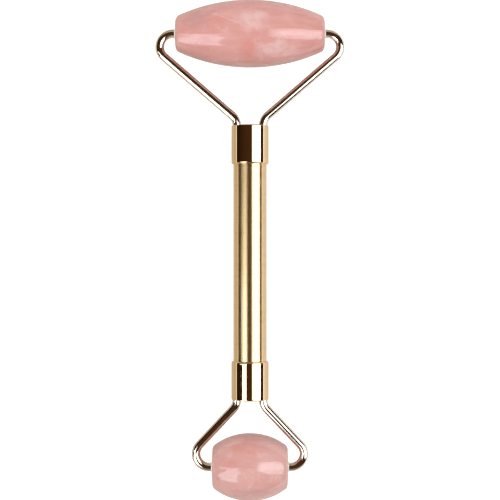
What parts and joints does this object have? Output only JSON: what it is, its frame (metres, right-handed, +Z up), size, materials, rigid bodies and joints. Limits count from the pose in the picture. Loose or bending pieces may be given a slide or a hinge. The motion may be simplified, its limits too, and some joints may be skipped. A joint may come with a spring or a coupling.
{
  "type": "face roller",
  "caption": "Double-ended hand massage roller: a tube handle with a wire fork at each end, each carrying a crowned stone barrel that turns freely on its pins.",
  "frame": {"origin": "on the surface the roller lies on, under the middle of its length and width", "axes": "+Y along the handle towards the large stone, +X across it along the stones' axes, +Z up from the surface"},
  "size_m": [0.0568, 0.1502, 0.0202],
  "materials": {
    "satin_gold": "satin",
    "polished_gold": "polished",
    "plain_brass": "satin",
    "rose_quartz": "gloss",
    "white_nylon": "satin"
  },
  "bodies": {
    "handle": {"handle_tube": "satin_gold", "large_end_ferrule": "polished_gold", "large_end_plug": "plain_brass", "large_fork_left_arm": "polished_gold", "large_fork_right_arm": "polished_gold", "large_roller_left_washer": "white_nylon", "large_roller_right_washer": "white_nylon", "small_end_ferrule": "polished_gold", "small_end_plug": "plain_brass", "small_fork_left_arm": "polished_gold", "small_fork_right_arm": "polished_gold", "small_roller_left_washer": "white_nylon", "small_roller_right_washer": "white_nylon"},
    "large_roller": {"large_roller_stone": "rose_quartz", "large_roller_left_bush": "white_nylon", "large_roller_right_bush": "white_nylon"},
    "small_roller": {"small_roller_stone": "rose_quartz", "small_roller_left_bush": "white_nylon", "small_roller_right_bush": "white_nylon"}
  },
  "joints": [
    {"name": "large_roller_spin", "type": "hinge", "parent": "handle", "child": "large_roller", "pos_m": [0, 0.065, 0.0101], "axis": [1, 0, 0], "continuous": true},
    {"name": "small_roller_spin", "type": "hinge", "parent": "handle", "child": "small_roller", "pos_m": [0, -0.065, 0.0101], "axis": [1, 0, 0], "continuous": true}
  ]
}
